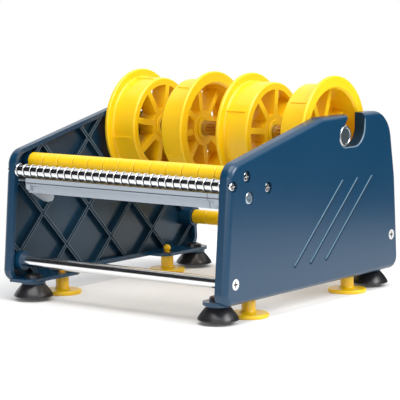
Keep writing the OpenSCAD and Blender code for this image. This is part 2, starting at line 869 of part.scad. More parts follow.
// end cap of the guard up to a given end: its section and the cheek with pivot and tail
module guard_cap(cap_out) {
    cap_in = cap_out - cap_l;
    ear_in = cap_out - ear_t;
    lobe = pivot_d / 2 + 2.8;
    brow = 4.4;
    tail = [pivot_y + tail_back, pivot_z - tail_drop];
    cheek = [[guard_front + 0.2, body_top], [guard_front + 0.6, body_top - brow],
        [tail.x - 3, tail.y - 3], [tail.x + 3, tail.y - 2.4], [tail.x + 3.4, tail.y + 3],
        [pivot_y + lobe, pivot_z - 2], [pivot_y + lobe, pivot_z + lobe],
        [pivot_y - lobe, pivot_z + lobe], [pivot_y - lobe - 3, body_top]];
    difference() {
        union() {
            across(cap_in)
                linear_extrude(cap_l)
                    guard_section();
            across(ear_in)
                linear_extrude(ear_t)
                    polygon(rounded(cheek, [1, 2.4, 2.6, 2.2, 1.5, 1.5, 4.5, 4.5, 0.4], 0, 6));
        }
        guard_plug(cap_in, 0.1);
        rod(pivot_y, pivot_z, pivot_d + 2 * run, ear_in - cut, cap_out + cut);
    }
}

module guard_cap_right() {
    color(GUARD_GREY)
        guard_cap(cap_right);
}

module guard_cap_left() {
    color(GUARD_GREY)
        mirror([1, 0, 0])
            guard_cap(cap_left);
}

// cross cut for a screwdriver, in a head whose face lies at h
module cross_cut(h, r) {
    for (a = [0, 90])
        rotate(a)
            translate([-r, -r / 5, h - 1.2])
                cube([2 * r, 2 * r / 5, 1.2 + cut]);
}

// screw along its head's outward axis, with its seat at 0
module domed_screw(r, shank, l) {
    dome = 1.4;
    difference() {
        union() {
            rotate_extrude($fn = 48)
                polygon(concat([[0, 0], [r, 0]], arc([r - dome, head_h - dome], dome, 0, 90, 5), [[0, head_h]]));
            translate([0, 0, -l])
                cylinder(r = shank, h = l + 0.1);
        }
        cross_cut(head_h, r * 0.6);
    }
}

// pivot of one end cap: a screw through the side plate that ends inside the cap's cheek
module guard_pivot(cap_out) {
    seat_x = frame_w / 2 - head_h;
    past = 0.5;
    across(seat_x)
        translate([pivot_y, pivot_z, 0])
            domed_screw(pivot_head_r, pivot_d / 2, seat_x - cap_out + ear_t + past);
}

module guard_pivot_screws() {
    color(ZINC) {
        guard_pivot(cap_right);
        mirror([1, 0, 0])
            guard_pivot(cap_left);
    }
}

// torsion spring round the left pivot: a leg along the cap's cheek, the coil and a short end
function coil_at(k, per_turn) = let (t = 270 + 360 * k / per_turn)
    [cap_left + spring_gap + wire_d / 2 + spring_pitch * k / per_turn,
        pivot_y + spring_r * cos(t), pivot_z + spring_r * sin(t)];

module guard_spring() {
    sides = 8;
    per_turn = 18;
    last = spring_turns * per_turn;
    coil = [for (k = [0 : last]) coil_at(k, per_turn)];
    leg = [coil[0] - [0, pivot_y - guard_back, -0.6], coil[0] - [0, 2, 0]];
    path = concat(leg, coil, [coil[last] + [0, 4, 0]]);
    n = len(path);
    along = [for (i = [0 : n - 1]) unit(path[min(i + 1, n - 1)] - path[max(i - 1, 0)])];
    points = [for (i = [0 : n - 1])
        let (u = unit(cross(along[i], [1, 0, 0])), v = cross(along[i], u))
        for (s = [0 : sides - 1])
            path[i] + wire_d / 2 * (cos(360 * s / sides) * u + sin(360 * s / sides) * v)];
    walls = [for (i = [0 : n - 2], s = [0 : sides - 1])
        let (a = i * sides + s, b = i * sides + (s + 1) % sides)
        each [[a, a + sides, b], [b, a + sides, b + sides]]];
    ends = [for (s = [1 : sides - 2])
        each [[0, s, s + 1], [(n - 1) * sides, (n - 1) * sides + s + 1, (n - 1) * sides + s]]];
    least = min([for (i = [0 : last], j = [0 : last])
        if (j - i > per_turn / 2) norm(coil[i] - coil[j])]) - wire_d;
    echo("guard spring, least gap to itself", least);
    color(STEEL)
        mirror([1, 0, 0])
            polyhedron(points, concat(walls, ends));
}

module lower_tie_bar() {
    color(CHROME)
        drilled_rod(tie_y, tie_z, tie_d, tie_end);
}

module rear_rod() {
    color(STEEL)
        drilled_rod(rear_y, rear_z, rear_rod_d, rear_end);
}

module rear_sleeves_left() {
    color(YELLOW)
        sleeves(rear_y, rear_z, rear_d, rear_rod_d, rear_end, rear_n, 0, floor(rear_n / 2) - 1);
}

module rear_sleeves_right() {
    color(YELLOW)
        sleeves(rear_y, rear_z, rear_d, rear_rod_d, rear_end, rear_n, floor(rear_n / 2), rear_n - 1);
}

// sunk screws in the ends of the roller rod, the ribbed bar and the guide rod
module rod_screws() {
    face = frame_w / 2 - head_sink - head_h;
    color(CHROME)
        mirrored()
            for (at = [[roller_y, roller_z, head_r], [bar_y, bar_z, bar_head_r], [guide_y, guide_z, head_r]])
                across(face)
                    translate([at.x, at.y, 0])
                        domed_screw(at.z, screw_d / 2, face - inner_x + screw_in);
}

// flush screw with a conical head, along its outward axis, with its face at 0
module cone_screw(l) {
    r = cone_r;
    difference() {
        union() {
            translate([0, 0, -head_h])
                cylinder(r1 = screw_d / 2, r2 = r, h = head_h);
            translate([0, 0, -l])
                cylinder(d = screw_d, h = l - head_h + 0.1);
        }
        cross_cut(0, r * 0.55);
    }
}

module tie_bar_screws() {
    color(CHROME)
        mirrored()
            across(frame_w / 2) {
                translate([tie_y, tie_z, 0])
                    cone_screw(rim_depth + tie_seat + screw_in);
                translate([rear_y, rear_z, 0])
                    cone_screw(rim_depth + rear_seat + screw_in);
            }
}

// radius of a cup's bell, from its rim at 0 to its crown at 1
function bell(t) = let (r = cup_d / 2, crown = 8.2) crown + (r - crown) * (1 - pow(t, 1.2));

// suction cup: bell below the pad, neck through the shelf and a head above it
module suction_cup(side_x, side_y) {
    r = cup_d / 2;
    neck = neck_d / 2;
    rise = pad_z - cup_lift;
    color(RUBBER)
        translate([side_x * cup_x, side_y * cup_y, cup_lift])
            rotate_extrude($fn = 48)
                polygon(concat([[r - 0.6, 0], [r, 0.5]],
                    [for (k = [1 : 8]) let (t = k / 8) [bell(t), 0.9 + (rise - 0.9) * t]],
                    [[neck, rise], [neck, rise + pad_t + shelf_t], [neck + 1.6, rise + pad_t + shelf_t],
                    [neck + 1.2, rise + pad_t + shelf_t + 2.2], [neck - 1, rise + pad_t + shelf_t + 3],
                    [0, rise + pad_t + shelf_t + 3], [0, rise - cup_wall - 1.4]],
                    [for (k = [7 : -1 : 1]) let (t = k / 8)
                        [(bell(t) - cup_wall) * (1 - 0.15 * t),
                            0.2 + (rise - cup_wall - 1.4) * t]]));
}

module suction_cup_front_right() { suction_cup(1, -1); }
module suction_cup_front_left() { suction_cup(-1, -1); }
module suction_cup_rear_right() { suction_cup(1, 1); }
module suction_cup_rear_left() { suction_cup(-1, 1); }

// pull-up foot: disc on the bench, column through the shelf and a ball to pull it by
module foot(side_x, side_y) {
    r = foot_d / 2;
    c = column_d / 2;
    blend = 2.5;
    ball = ball_d / 2;
    top = shelf_top - 0.9;
    ball_z = top + 0.6 + ball;
    throat = ball * 0.55;
    color(YELLOW)
        translate([side_x * foot_x, side_y * foot_y, 0])
            rotate_extrude($fn = 48)
                polygon(concat([[0, 0], [r - 0.6, 0], [r, 0.6]],
                    arc([r - 1, foot_t - 1], 1, 0, 90, 4),
                    arc([c + blend, foot_t + blend], blend, -90, -180, 6),
                    [[c, top - 0.6], [c - 0.6, top], [throat, top]],
                    arc([0, ball_z], ball, -asin(0.83), 90, 12)));
}

module foot_front_right() { foot(1, -1); }
module foot_front_left() { foot(-1, -1); }
module foot_rear_right() { foot(1, 1); }
module foot_rear_left() { foot(-1, 1); }

right_side_plate();
left_side_plate();
spindle_rod();
spindle_end_right();
spindle_end_left();
core_hub_1();
core_hub_2();
core_hub_3();
core_hub_4();
hub_bush_1();
hub_bush_2();
hub_bush_3();
hub_bush_4();
front_roller_rod();
front_sleeves_left();
front_sleeves_right();
ribbed_bar();
guide_rod();
cutter_blade();
guard_bar();
guard_cap_right();
guard_cap_left();
guard_pivot_screws();
guard_spring();
lower_tie_bar();
rear_rod();
rear_sleeves_left();
rear_sleeves_right();
rod_screws();
tie_bar_screws();
suction_cup_front_right();
suction_cup_front_left();
suction_cup_rear_right();
suction_cup_rear_left();
foot_front_right();
foot_front_left();
foot_rear_right();
foot_rear_left();
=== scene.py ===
"""Looks of the label dispenser: finishes, eased edges, studio and camera."""

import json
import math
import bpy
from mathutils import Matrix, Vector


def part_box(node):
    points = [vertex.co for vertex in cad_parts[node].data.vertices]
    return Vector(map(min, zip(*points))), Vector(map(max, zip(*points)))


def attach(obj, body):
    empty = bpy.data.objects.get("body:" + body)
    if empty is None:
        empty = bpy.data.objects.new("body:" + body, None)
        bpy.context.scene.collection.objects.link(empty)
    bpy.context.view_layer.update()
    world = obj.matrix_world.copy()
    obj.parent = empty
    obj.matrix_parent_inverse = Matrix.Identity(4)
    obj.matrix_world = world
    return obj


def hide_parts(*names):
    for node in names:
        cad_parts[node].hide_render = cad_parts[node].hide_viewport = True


bl_info = {
    "name": "Label dispenser",
    "version": (1, 0, 0),
    "blender": (4, 5, 0),
    "location": "View3D > Sidebar > Dispenser",
    "description": "Dresses the packed label dispenser and sets up its studio",
    "category": "Object",
}

import bpy
from bpy.props import FloatProperty, FloatVectorProperty, PointerProperty
from mathutils import Matrix, Vector

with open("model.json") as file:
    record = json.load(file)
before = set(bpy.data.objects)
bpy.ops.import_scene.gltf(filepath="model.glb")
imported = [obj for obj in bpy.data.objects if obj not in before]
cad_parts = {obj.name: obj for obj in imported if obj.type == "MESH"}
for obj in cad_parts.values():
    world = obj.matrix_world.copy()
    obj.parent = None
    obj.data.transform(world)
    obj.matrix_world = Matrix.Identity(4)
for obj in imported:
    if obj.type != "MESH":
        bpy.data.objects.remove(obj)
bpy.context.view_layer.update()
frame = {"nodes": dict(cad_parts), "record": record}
NODES = frame["nodes"]
BODY_OF = {
    node: body
    for body, nodes in frame["record"]["behaviour"]["bodies"].items()
    for node in nodes
}
SIDES = ("right", "left")
ENDS = ("front", "rear")
STATIONS = (1, 2, 3, 4)

# The rib lattice of a side plate: the y and z of one crossing, how far behind the
# plate's front it starts and how high it reaches
LATTICE_CROSSING = (-0.023, 0.0615)
LATTICE_FRONT = 0.014
LATTICE_TOP = 0.124

# The finishes of a side plate, in the order of its materials; all but the plain one are
# painted highlight and painted shade
PLAIN, RIM_HIGHLIGHT, SHADE, WEB, RIB, STRIPE = range(6)

# Distances by which points and faces are told apart
SAME_POINT = 0.000002
SAME_PLANE = 0.0001
STRIPE_PROUD = 0.00001
RIB_LIP = 0.0002
RECESS_LIP = 0.0002

# Parts of a face's normal by which it is told apart
# A stripe face whose normal rises more than this gets the painted highlight, the rest
# of the stripe painted shade
LIT_FLANK = 0.42
SLOT_WALL = 0.2
LEVEL_FACE = 0.9
RIB_WALL = 0.1
RIB_LEAN = 0.04
ROD_END = 0.75

# Turns from face to face, in degrees, and the steps of a rounding
FLAT_TURN = 0.4
SHARP_TURN = 60.0
ROUNDED_TURN = 40.0
SMOOTH_TURN = 35.0
SPRING_TURN = 70.0
ROUND_STEPS = 2
RIM_STEPS = 4


def centre_of(node):
    """Middle of a CAD node's box."""
    low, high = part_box(node)
    return (Vector(low) + Vector(high)) / 2


# Settings


def colour(name, words, value):
    """A colour setting."""
    return FloatVectorProperty(
        name=name,
        description=words,
        subtype="COLOR",
        size=3,
        min=0.0,
        max=1.0,
        default=value,
    )


def length(name, words, value):
    """A length setting in metres."""
    return FloatProperty(
        name=name, description=words, unit="LENGTH", min=0.0, default=value, precision=5
    )


class DispenserColours(bpy.types.PropertyGroup):
    """Colours of the dispenser's finishes, some of which are painted highlights and
    painted shade.
    """

    navy: colour("Navy", "Moulded side plates", (0.0034, 0.040, 0.092))
    # Painted highlight on the rims of the spindle slots
    rim: colour("Rim", "Painted highlight on the rim of the spindle slots", (0.13, 0.21, 0.28))
    # Painted shade on the slot walls, the lattice ribs and the stripes' lower flanks
    shade: colour("Shaded navy", "Slot walls and lattice ribs", (0.0050, 0.023, 0.044))
    # Painted shade on the floors inside the lattice
    web: colour("Web navy", "Floors of the lattice's diamonds", (0.0050, 0.031, 0.062))
    # Painted highlight along the edges of the lattice ribs
    edge: colour("Edge navy", "Bright edges of the lattice ribs", (0.17, 0.215, 0.26))
    # Painted highlight on the stripes' upper flanks
    stripe: colour("Stripe navy", "Upper flanks of the stripes", (0.070, 0.165, 0.245))
    yellow: colour("Yellow", "Hubs, sleeves and feet", (0.95, 0.585, 0.002))
    guard: colour("Guard grey", "Guard bar and its caps", (0.35, 0.395, 0.45))
    # Painted shade in the guard's seam and groove
    seam: colour("Seam grey", "Seam and groove of the guard", (0.10, 0.115, 0.135))
    chrome: colour("Chrome", "Plated bars and screws", (0.86, 0.87, 0.88))
    # Painted shade in the corners beside the bar's ribs
    corner: colour("Corner", "Corners beside the bar's ribs", (0.015, 0.015, 0.017))
    steel: colour("Steel", "Turned rods", (0.56, 0.55, 0.54))
    # Painted reflection: the spindle rod's steel tinted warm like the yellow hubs
    # around it
    rod: colour("Steel painted with hub reflection", "Rod of the spindle", (0.52, 0.41, 0.27))
    blade: colour("Blade", "Serrated blade", (0.42, 0.44, 0.46))
    # Painted dark reflection on the flat faces of the sunk screws
    dark_chrome: colour("Dark chrome", "Sunk screws of the rods", (0.42, 0.42, 0.44))
    # Painted shade in the recesses of the flush screws
    recess: colour("Recess", "Recesses of the flush screws", (0.05, 0.05, 0.055))
    dull: colour("Dull steel", "Faces of the spindle's ends", (0.15, 0.195, 0.225))
    zinc: colour("Zinc", "Pivot screws", (0.50, 0.60, 0.68))
    rubber: colour("Rubber", "Suction cups", (0.017, 0.017, 0.020))
    floor: colour("Floor", "Studio floor", (0.90, 0.90, 0.90))
    card: colour("Card", "Dark cards of the studio", (0.01, 0.01, 0.012))


class DispenserSizes(bpy.types.PropertyGroup):
    """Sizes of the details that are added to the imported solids."""

    plate_round: length("Plate rounding", "Rounding of moulded ribs and rims", 0.0004)
    hub_round: length("Hub rounding", "Rounding of the hubs' spokes", 0.0003)
    metal_round: length("Metal rounding", "Broken edges of metal pieces", 0.0001)
    blade_round: length("Blade rounding", "Broken edges of the blade", 0.00005)
    guard_round: length("Guard rounding", "Rounding of the guard's edges", 0.00025)
    rib_round: length("Rib rounding", "Rounding of the ribbed bar's ribs", 0.0003)
    rib_pitch: length("Rib pitch", "From rib to rib on the ribbed bar", 0.0065)
    rib_width: length("Rib width", "Width of a rib on the ribbed bar", 0.0016)
    slot_round: length("Slot rounding", "Rounding of a slot's outer edge", 0.0008)
    slot_front: length("Slot front", "Reach of a slot before the spindle", 0.0095)
    slot_rear: length("Slot rear", "Reach of a slot behind the spindle", 0.0285)
    web_thick: length("Web", "Thickness of a side plate's web", 0.003)
    diamond_length: length("Diamond length", "Length of a lattice diamond", 0.054)
    diamond_height: length("Diamond height", "Height of a lattice diamond", 0.053)
    rib_thick: length("Lattice rib thickness", "Thickness of a lattice rib", 0.0026)
    rib_height: length("Lattice rib height", "Height of a rib on the web", 0.0042)
    rib_edge_highlight: length("Lattice rib edge", "Width of a rib's bright edge", 0.0004)
    groove_drop: length("Groove drop", "Guard's groove below its top", 0.0033)
    recess_depth: length("Recess depth", "Depth of a cross recess", 0.0012)
    recess_reach: length("Recess reach", "Reach of a recess arm", 0.0023)


# Modelling helpers


def select_only(piece):
    """Leaves one object selected and active."""
    bpy.ops.object.select_all(action="DESELECT")
    piece.select_set(True)
    bpy.context.view_layer.objects.active = piece


def apply_modifier(piece, kind, **values):
    """Adds a modifier to the active piece and applies it."""
    modifier = piece.modifiers.new(kind.lower(), kind)
    for key, value in values.items():
        setattr(modifier, key, value)
    bpy.ops.object.modifier_apply(modifier=modifier.name)


def settle(piece, angle=SMOOTH_TURN):
    """Smooth shading up to an angle, with flat faces kept flat."""
    select_only(piece)
    bpy.ops.object.shade_smooth_by_angle(angle=math.radians(angle))
    apply_modifier(
        piece, "WEIGHTED_NORMAL", mode="FACE_AREA", keep_sharp=True, weight=50
    )


def rounded(piece, width):
    """Rounds the sharp edges of the active piece."""
    apply_modifier(
        piece,
        "BEVEL",
        width=width,
        segments=ROUND_STEPS,
        limit_method="ANGLE",
        angle_limit=math.radians(ROUNDED_TURN),
        use_clamp_overlap=True,
    )


def paint(piece, *materials):
    """Gives a piece its materials, the first one on all of it."""
    piece.data.materials.clear()
    for material in materials:
        piece.data.materials.append(material)


def paint_faces(piece, material, chosen):
    """Adds a material to a piece, for the faces that a test chooses."""
    piece.data.materials.append(material)
    for part in piece.data.polygons:
        if chosen(part):
            part.material_index = len(piece.data.materials) - 1


def finish_piece(piece, body, slot, *nodes):
    """Gives a piece its body and hides the nodes that it stands for; the slot is not
    used.
    """
    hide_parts(*nodes)
    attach(piece, body)
    return piece


def merged_copy(node):
    """A copy of a CAD node with its doubles merged and its flat faces joined."""
    piece = bpy.data.objects.new(node + "_eased", NODES[node].data.copy())
    bpy.context.scene.collection.objects.link(piece)
    select_only(piece)
    bpy.ops.object.mode_set(mode="EDIT")
    bpy.ops.mesh.select_all(action="SELECT")
    bpy.ops.mesh.customdata_custom_splitnormals_clear()
    bpy.ops.mesh.remove_doubles(threshold=SAME_POINT)
    bpy.ops.mesh.dissolve_limited(angle_limit=math.radians(FLAT_TURN))
    bpy.ops.object.mode_set(mode="OBJECT")
    return piece


def round_edges(piece, inside, width, material):
    """Rounds the active piece's sharp edges in a region, in one of its materials."""
    bpy.ops.object.mode_set(mode="EDIT")
    bpy.ops.mesh.select_mode(type="EDGE")
    bpy.ops.mesh.select_all(action="DESELECT")
    bpy.ops.mesh.edges_select_sharp(sharpness=math.radians(SHARP_TURN))
    bpy.ops.object.mode_set(mode="OBJECT")
    points = piece.data.vertices
    chosen = [
        edge.select and inside(*(points[k].co for k in edge.vertices))
        for edge in piece.data.edges
    ]
    if not any(chosen):
        raise RuntimeError("no edge to round on " + piece.name)
    for vertex in points:
        vertex.select = False
    for face in piece.data.polygons:
        face.select = False
    for edge, select in zip(piece.data.edges, chosen):
        edge.select = select
    bpy.ops.object.mode_set(mode="EDIT")
    bpy.ops.mesh.bevel(
        offset=width,
        segments=RIM_STEPS,
        affect="EDGES",
        clamp_overlap=False,
        material=material,
    )
    bpy.ops.mesh.select_mode(type="VERT")
    bpy.ops.object.mode_set(mode="OBJECT")


def eased_copy(node, material, slot, width=0.0, angle=SMOOTH_TURN):
    """A copy of a CAD node with rounded edges and smooth shading, in its finish."""
    piece = merged_copy(node)
    if width > 0.0:
        rounded(piece, width)
    settle(piece, angle)
    paint(piece, material)
    return finish_piece(piece, BODY_OF[node], slot, node)


# Shader helpers


NODE_START = -1800
NODE_STEP = (180, -120)
NODE_ROWS = 5

# A Mix node's colour sockets: the first and the second colour, and the result
MIX_FIRST, MIX_SECOND, MIX_RESULT = 6, 7, 2


class Nodes:
    """Short ways to add and link nodes in one tree."""

    def __init__(self, tree):
        self.tree = tree
        self.column = 0

    def add(self, kind, **values):
        """A new node with its properties set."""
        node = self.tree.nodes.new(kind)
        self.column += 1
        node.location = (
            NODE_START + NODE_STEP[0] * self.column,
            NODE_STEP[1] * (self.column % NODE_ROWS),
        )
        for key, value in values.items():
            setattr(node, key, value)
        return node

    def link(self, source, target):
        """Links an output to an input."""
        self.tree.links.new(source, target)

    def feed(self, target, value):
        """Links an output to an input, or sets a plain number on it."""
        if isinstance(value, bpy.types.NodeSocket):
            self.link(value, target)
        else:
            target.default_value = value

    def calc(self, operation, *values, **settings):
        """The result of one step of arithmetic on outputs and numbers."""
        node = self.add("ShaderNodeMath", operation=operation, **settings)
        for target, value in zip(node.inputs, values):
            self.feed(target, value)
        return node.outputs[0]

    def noise(self, place, scale, detail):
        """Soft noise, from 0 to 1."""
        node = self.add("ShaderNodeTexNoise")
        self.link(place, node.inputs["Vector"])
        self.feed(node.inputs["Scale"], scale)
        node.inputs["Detail"].default_value = detail
        return node.outputs["Fac"]

    def ease(self, value, source, target, kind="SMOOTHSTEP"):
        """A value brought from one range to another."""
        node = self.add("ShaderNodeMapRange", interpolation_type=kind)
        labels = ("From Min", "From Max", "To Min", "To Max")
        for label, number in zip(labels, (*source, *target)):
            node.inputs[label].default_value = number
        self.link(value, node.inputs["Value"])
        return node.outputs["Result"]

    def place(self):
        """The place of a point in the shared frame."""
        return self.add("ShaderNodeTexCoord").outputs["Object"]

    def along(self, axis):
        """The place of a point along one axis."""
        split = self.add("ShaderNodeSeparateXYZ")
        self.link(self.place(), split.inputs[0])
        return split.outputs[axis]


def set_inputs(node, values):
    """Sets plain values on a node's inputs."""
    for label, value in values.items():
        node.inputs[label].default_value = value


def shader_of(material):
    """The Principled shader of a material."""
    return material.node_tree.nodes["Principled BSDF"]


def colour_of(tint):
    """A colour setting by its name."""
    return getattr(bpy.context.scene.dispenser_colours, tint)


def new_group(name, inputs, outputs):
    """An empty shader node group with named float or colour sockets."""
    group = bpy.data.node_groups.new(name, "ShaderNodeTree")
    for label, kind, value in inputs:
        socket = group.interface.new_socket(label, in_out="INPUT", socket_type=kind)
        socket.default_value = value
    for label, kind in outputs:
        group.interface.new_socket(label, in_out="OUTPUT", socket_type=kind)
    nodes = Nodes(group)
    return group, nodes, nodes.add("NodeGroupInput"), nodes.add("NodeGroupOutput")


def moulded_group():
    """Moulded grain: a little change of tone and gloss, and a fine bump height."""
    if "moulded_surface" in bpy.data.node_groups:
        return bpy.data.node_groups["moulded_surface"]
    group, n, start, end = new_group(
        "moulded_surface",
        [
            ("Colour", "NodeSocketColor", (0.5, 0.5, 0.5, 1.0)),
            ("Grain Scale", "NodeSocketFloat", 1400.0),
            ("Tone", "NodeSocketFloat", 0.06),
            ("Roughness", "NodeSocketFloat", 0.4),
            ("Gloss Change", "NodeSocketFloat", 0.06),
        ],
        [
            ("Colour", "NodeSocketColor"),
            ("Roughness", "NodeSocketFloat"),
            ("Height", "NodeSocketFloat"),
        ],
    )
    given = start.outputs
    place = n.place()
    grain = n.noise(place, given["Grain Scale"], detail=3.0)
    cloud = n.noise(place, 22.0, detail=4.0)
    centred = n.calc("SUBTRACT", cloud, 0.5)
    tone = n.calc("MULTIPLY_ADD", centred, given["Tone"], 1.0)
    shade = n.add("ShaderNodeVectorMath", operation="SCALE")
    n.link(given["Colour"], shade.inputs[0])
    n.link(tone, shade.inputs["Scale"])
    gloss = n.calc("MULTIPLY_ADD", centred, given["Gloss Change"], given["Roughness"])
    n.link(shade.outputs[0], end.inputs["Colour"])
    n.link(gloss, end.inputs["Roughness"])
    n.link(grain, end.inputs["Height"])
    return group


def streak_group():
    """Fine lines of drawn or ground metal along x, as a mask, a gloss and a height."""
    if "drawn_lines" in bpy.data.node_groups:
        return bpy.data.node_groups["drawn_lines"]
    group, n, start, end = new_group(
        "drawn_lines",
        [
            ("Along", "NodeSocketFloat", 30.0),
            ("Across", "NodeSocketFloat", 2200.0),
            ("Roughness", "NodeSocketFloat", 0.2),
            ("Change", "NodeSocketFloat", 0.1),
        ],
        [
            ("Mask", "NodeSocketFloat"),
            ("Roughness", "NodeSocketFloat"),
            ("Height", "NodeSocketFloat"),
        ],
    )
    given = start.outputs
    stretch = n.add("ShaderNodeCombineXYZ")
    for axis, share in (("X", "Along"), ("Y", "Across"), ("Z", "Across")):
        n.link(given[share], stretch.inputs[axis])
    scaled = n.add("ShaderNodeVectorMath", operation="MULTIPLY")
    n.link(n.place(), scaled.inputs[0])
    n.link(stretch.outputs[0], scaled.inputs[1])
    lines = n.noise(scaled.outputs[0], 1.0, detail=2.0)
    centred = n.calc("SUBTRACT", lines, 0.5)
    rough = n.calc("MULTIPLY_ADD", centred, given["Change"], given["Roughness"])
    n.link(lines, end.inputs["Mask"])
    n.link(rough, end.inputs["Roughness"])
    n.link(lines, end.inputs["Height"])
    return group


def start_material(name):
    """A new material with its nodes and shader, or only the one that has the name."""
    if name in bpy.data.materials:
        return bpy.data.materials[name], None, None
    material = bpy.data.materials.new(name)
    material.use_nodes = True
    return material, Nodes(material.node_tree), shader_of(material)


def bumped(n, height, shader, strength, distance):
    """Links a height to the shader's normal through a bump."""
    bump = n.add("ShaderNodeBump")
    set_inputs(bump, {"Strength": strength, "Distance": distance})
    n.link(height, bump.inputs["Height"])
    n.link(bump.outputs["Normal"], shader.inputs["Normal"])


def line_mask(n, value, centre, half, soft):
    """1 where a value lies within half a width of a centre, with soft edges."""
    off = n.calc("ABSOLUTE", n.calc("SUBTRACT", value, centre))
    return n.ease(off, (half, half + soft), (1.0, 0.0))


def tinted(n, material, mask, tint):
    """Mixes a colour setting into a material's colour where a mask is 1; here it paints
    highlights and shade.
    """
    shader = shader_of(material)
    plain = shader.inputs["Base Color"].links[0].from_socket
    mix = n.add("ShaderNodeMix", data_type="RGBA")
    n.link(mask, mix.inputs["Factor"])
    n.link(plain, mix.inputs[MIX_FIRST])
    mix.inputs[MIX_SECOND].default_value = (*colour_of(tint), 1.0)
    n.link(mix.outputs[MIX_RESULT], shader.inputs["Base Color"])


# Plastics and rubber


COAT_ROUGHNESS = 0.1
GRAIN_DEPTH = 0.0002

# Share of the painted highlight along a lattice rib's edge that is fully bright
HIGHLIGHT_SOLID = 0.9

# Half the width of the painted shade lines in the guard's seam and its groove, and
# their soft edge
SEAM_HALF = 0.00022
GROOVE_HALF = 0.0003
SEAM_SOFT = 0.0002


def moulded_plastic(
    name, tint, *, roughness, grain, tone, bump, coat=0.0, specular=0.5
):
    """Moulded plastic with a fine grain, in one of the colour settings."""
    material, n, shader = start_material(name)
    if n is None:
        return material
    surface = n.add("ShaderNodeGroup", node_tree=moulded_group())
    set_inputs(
        surface,
        {
            "Colour": (*colour_of(tint), 1.0),
            "Grain Scale": grain,
            "Tone": tone,
            "Roughness": roughness,
        },
    )
    n.link(surface.outputs["Colour"], shader.inputs["Base Color"])
    n.link(surface.outputs["Roughness"], shader.inputs["Roughness"])
    set_inputs(
        shader,
        {
            "Coat Weight": coat,
            "Coat Roughness": COAT_ROUGHNESS,
            "Specular IOR Level": specular,
        },
    )
    bumped(n, surface.outputs["Height"], shader, bump, GRAIN_DEPTH)
    return material


def navy_plastic():
    """Navy of the moulded side plates."""
    return moulded_plastic(
        "navy_moulded_plastic",
        "navy",
        roughness=0.26,
        grain=1500.0,
        tone=0.10,
        bump=0.05,
        coat=0.05,
    )


def navy_rim_highlight():
    """Painted highlight: pale navy on the rim of a spindle slot."""
    return moulded_plastic(
        "navy_plastic_rim", "rim", roughness=0.20, grain=1500.0, tone=0.10, bump=0.03
    )


def navy_painted_shade():
    """Painted shade: darker, dull navy on the slot walls, the rib walls and the
    stripes' other flanks.
    """
    return moulded_plastic(
        "navy_plastic_cut",
        "shade",
        roughness=0.62,
        grain=1100.0,
        tone=0.20,
        bump=0.12,
        specular=0.12,
    )


def navy_web():
    """Painted shade: darker, greyer navy on the floors between the lattice ribs."""
    return moulded_plastic(
        "navy_plastic_web",
        "web",
        roughness=0.30,
        grain=1500.0,
        tone=0.10,
        bump=0.05,
        coat=0.05,
    )


def navy_stripe():
    """Painted highlight: pale navy on the stripes' upper flanks, where light falls."""
    return moulded_plastic(
        "navy_plastic_stripe",
        "stripe",
        roughness=0.35,
        grain=1500.0,
        tone=0.10,
        bump=0.03,
        specular=0.3,
    )


def lattice_distance(n, slope):
    """Distance of a point from the middle of the nearest lattice rib of one slope."""
    sizes = bpy.context.scene.dispenser_sizes
    wide, high = sizes.diamond_length, sizes.diamond_height
    cross_y, cross_z = LATTICE_CROSSING
    start = 0.5 - cross_y / wide - slope * cross_z / high
    by_y = n.calc("MULTIPLY_ADD", n.along("Y"), 1.0 / wide, start)
    count = n.calc("MULTIPLY_ADD", n.along("Z"), slope / high, by_y)
    off = n.calc("SUBTRACT", n.calc("FRACT", count), 0.5)
    apart = wide * high / math.hypot(wide, high)
    return n.calc("MULTIPLY", n.calc("ABSOLUTE", off), apart)


def navy_rib():
    """Painted shade on the tops of the lattice ribs, with a painted highlight line
    along each edge.
    """
    name = "navy_plastic_rib"
    if name in bpy.data.materials:
        return bpy.data.materials[name]
    sizes = bpy.context.scene.dispenser_sizes
    material = moulded_plastic(
        name,
        "shade",
        roughness=0.62,
        grain=1500.0,
        tone=0.10,
        bump=0.03,
        specular=0.2,
    )
    n = Nodes(material.node_tree)
    edge = 0.5 * sizes.rib_edge_highlight
    middle = 0.5 * sizes.rib_thick - edge
    solid, soft = HIGHLIGHT_SOLID * edge, (1.0 - HIGHLIGHT_SOLID) * edge
    first, second = (lattice_distance(n, slope) for slope in (-1.0, 1.0))
    lines = []
    for own, other in ((first, second), (second, first)):
        line = line_mask(n, own, middle, solid, soft)
        clear = n.calc("GREATER_THAN", other, middle)
        lines.append(n.calc("MULTIPLY", line, clear))
    # Paints the highlight lines along the rib edges
    tinted(n, material, n.calc("MAXIMUM", *lines), "edge")
    return material


def yellow_plastic():
    """Yellow plastic that lets a little light through, with warm shadows."""
    material = moulded_plastic(
        "yellow_moulded_plastic",
        "yellow",
        roughness=0.34,
        grain=1300.0,
        tone=0.05,
        bump=0.06,
        specular=0.7,
    )
    set_inputs(
        shader_of(material),
        {
            "Subsurface Weight": 0.3,
            "Subsurface Radius": (1.0, 0.8, 0.1),
            "Subsurface Scale": 0.0025,
        },
    )
    return material


def grey_plastic():
    """Grey plastic with painted shade as a dark line at the right cap's seam and in the
    lip's groove.
    """
    name = "grey_guard_plastic"
    if name in bpy.data.materials:
        return bpy.data.materials[name]
    material = moulded_plastic(
        name, "guard", roughness=0.38, grain=1600.0, tone=0.06, bump=0.06
    )
    n = Nodes(material.node_tree)
    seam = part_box("guard_cap_right")[0][0]
    drop = bpy.context.scene.dispenser_sizes.groove_drop
    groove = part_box("guard_bar")[1][2] - drop
    lines = n.calc(
        "MAXIMUM",
        line_mask(n, n.along("X"), seam, SEAM_HALF, SEAM_SOFT),
        line_mask(n, n.along("Z"), groove, GROOVE_HALF, SEAM_SOFT),
    )
    # Paints shade into the seam and the groove
    tinted(n, material, lines, "seam")
    return material


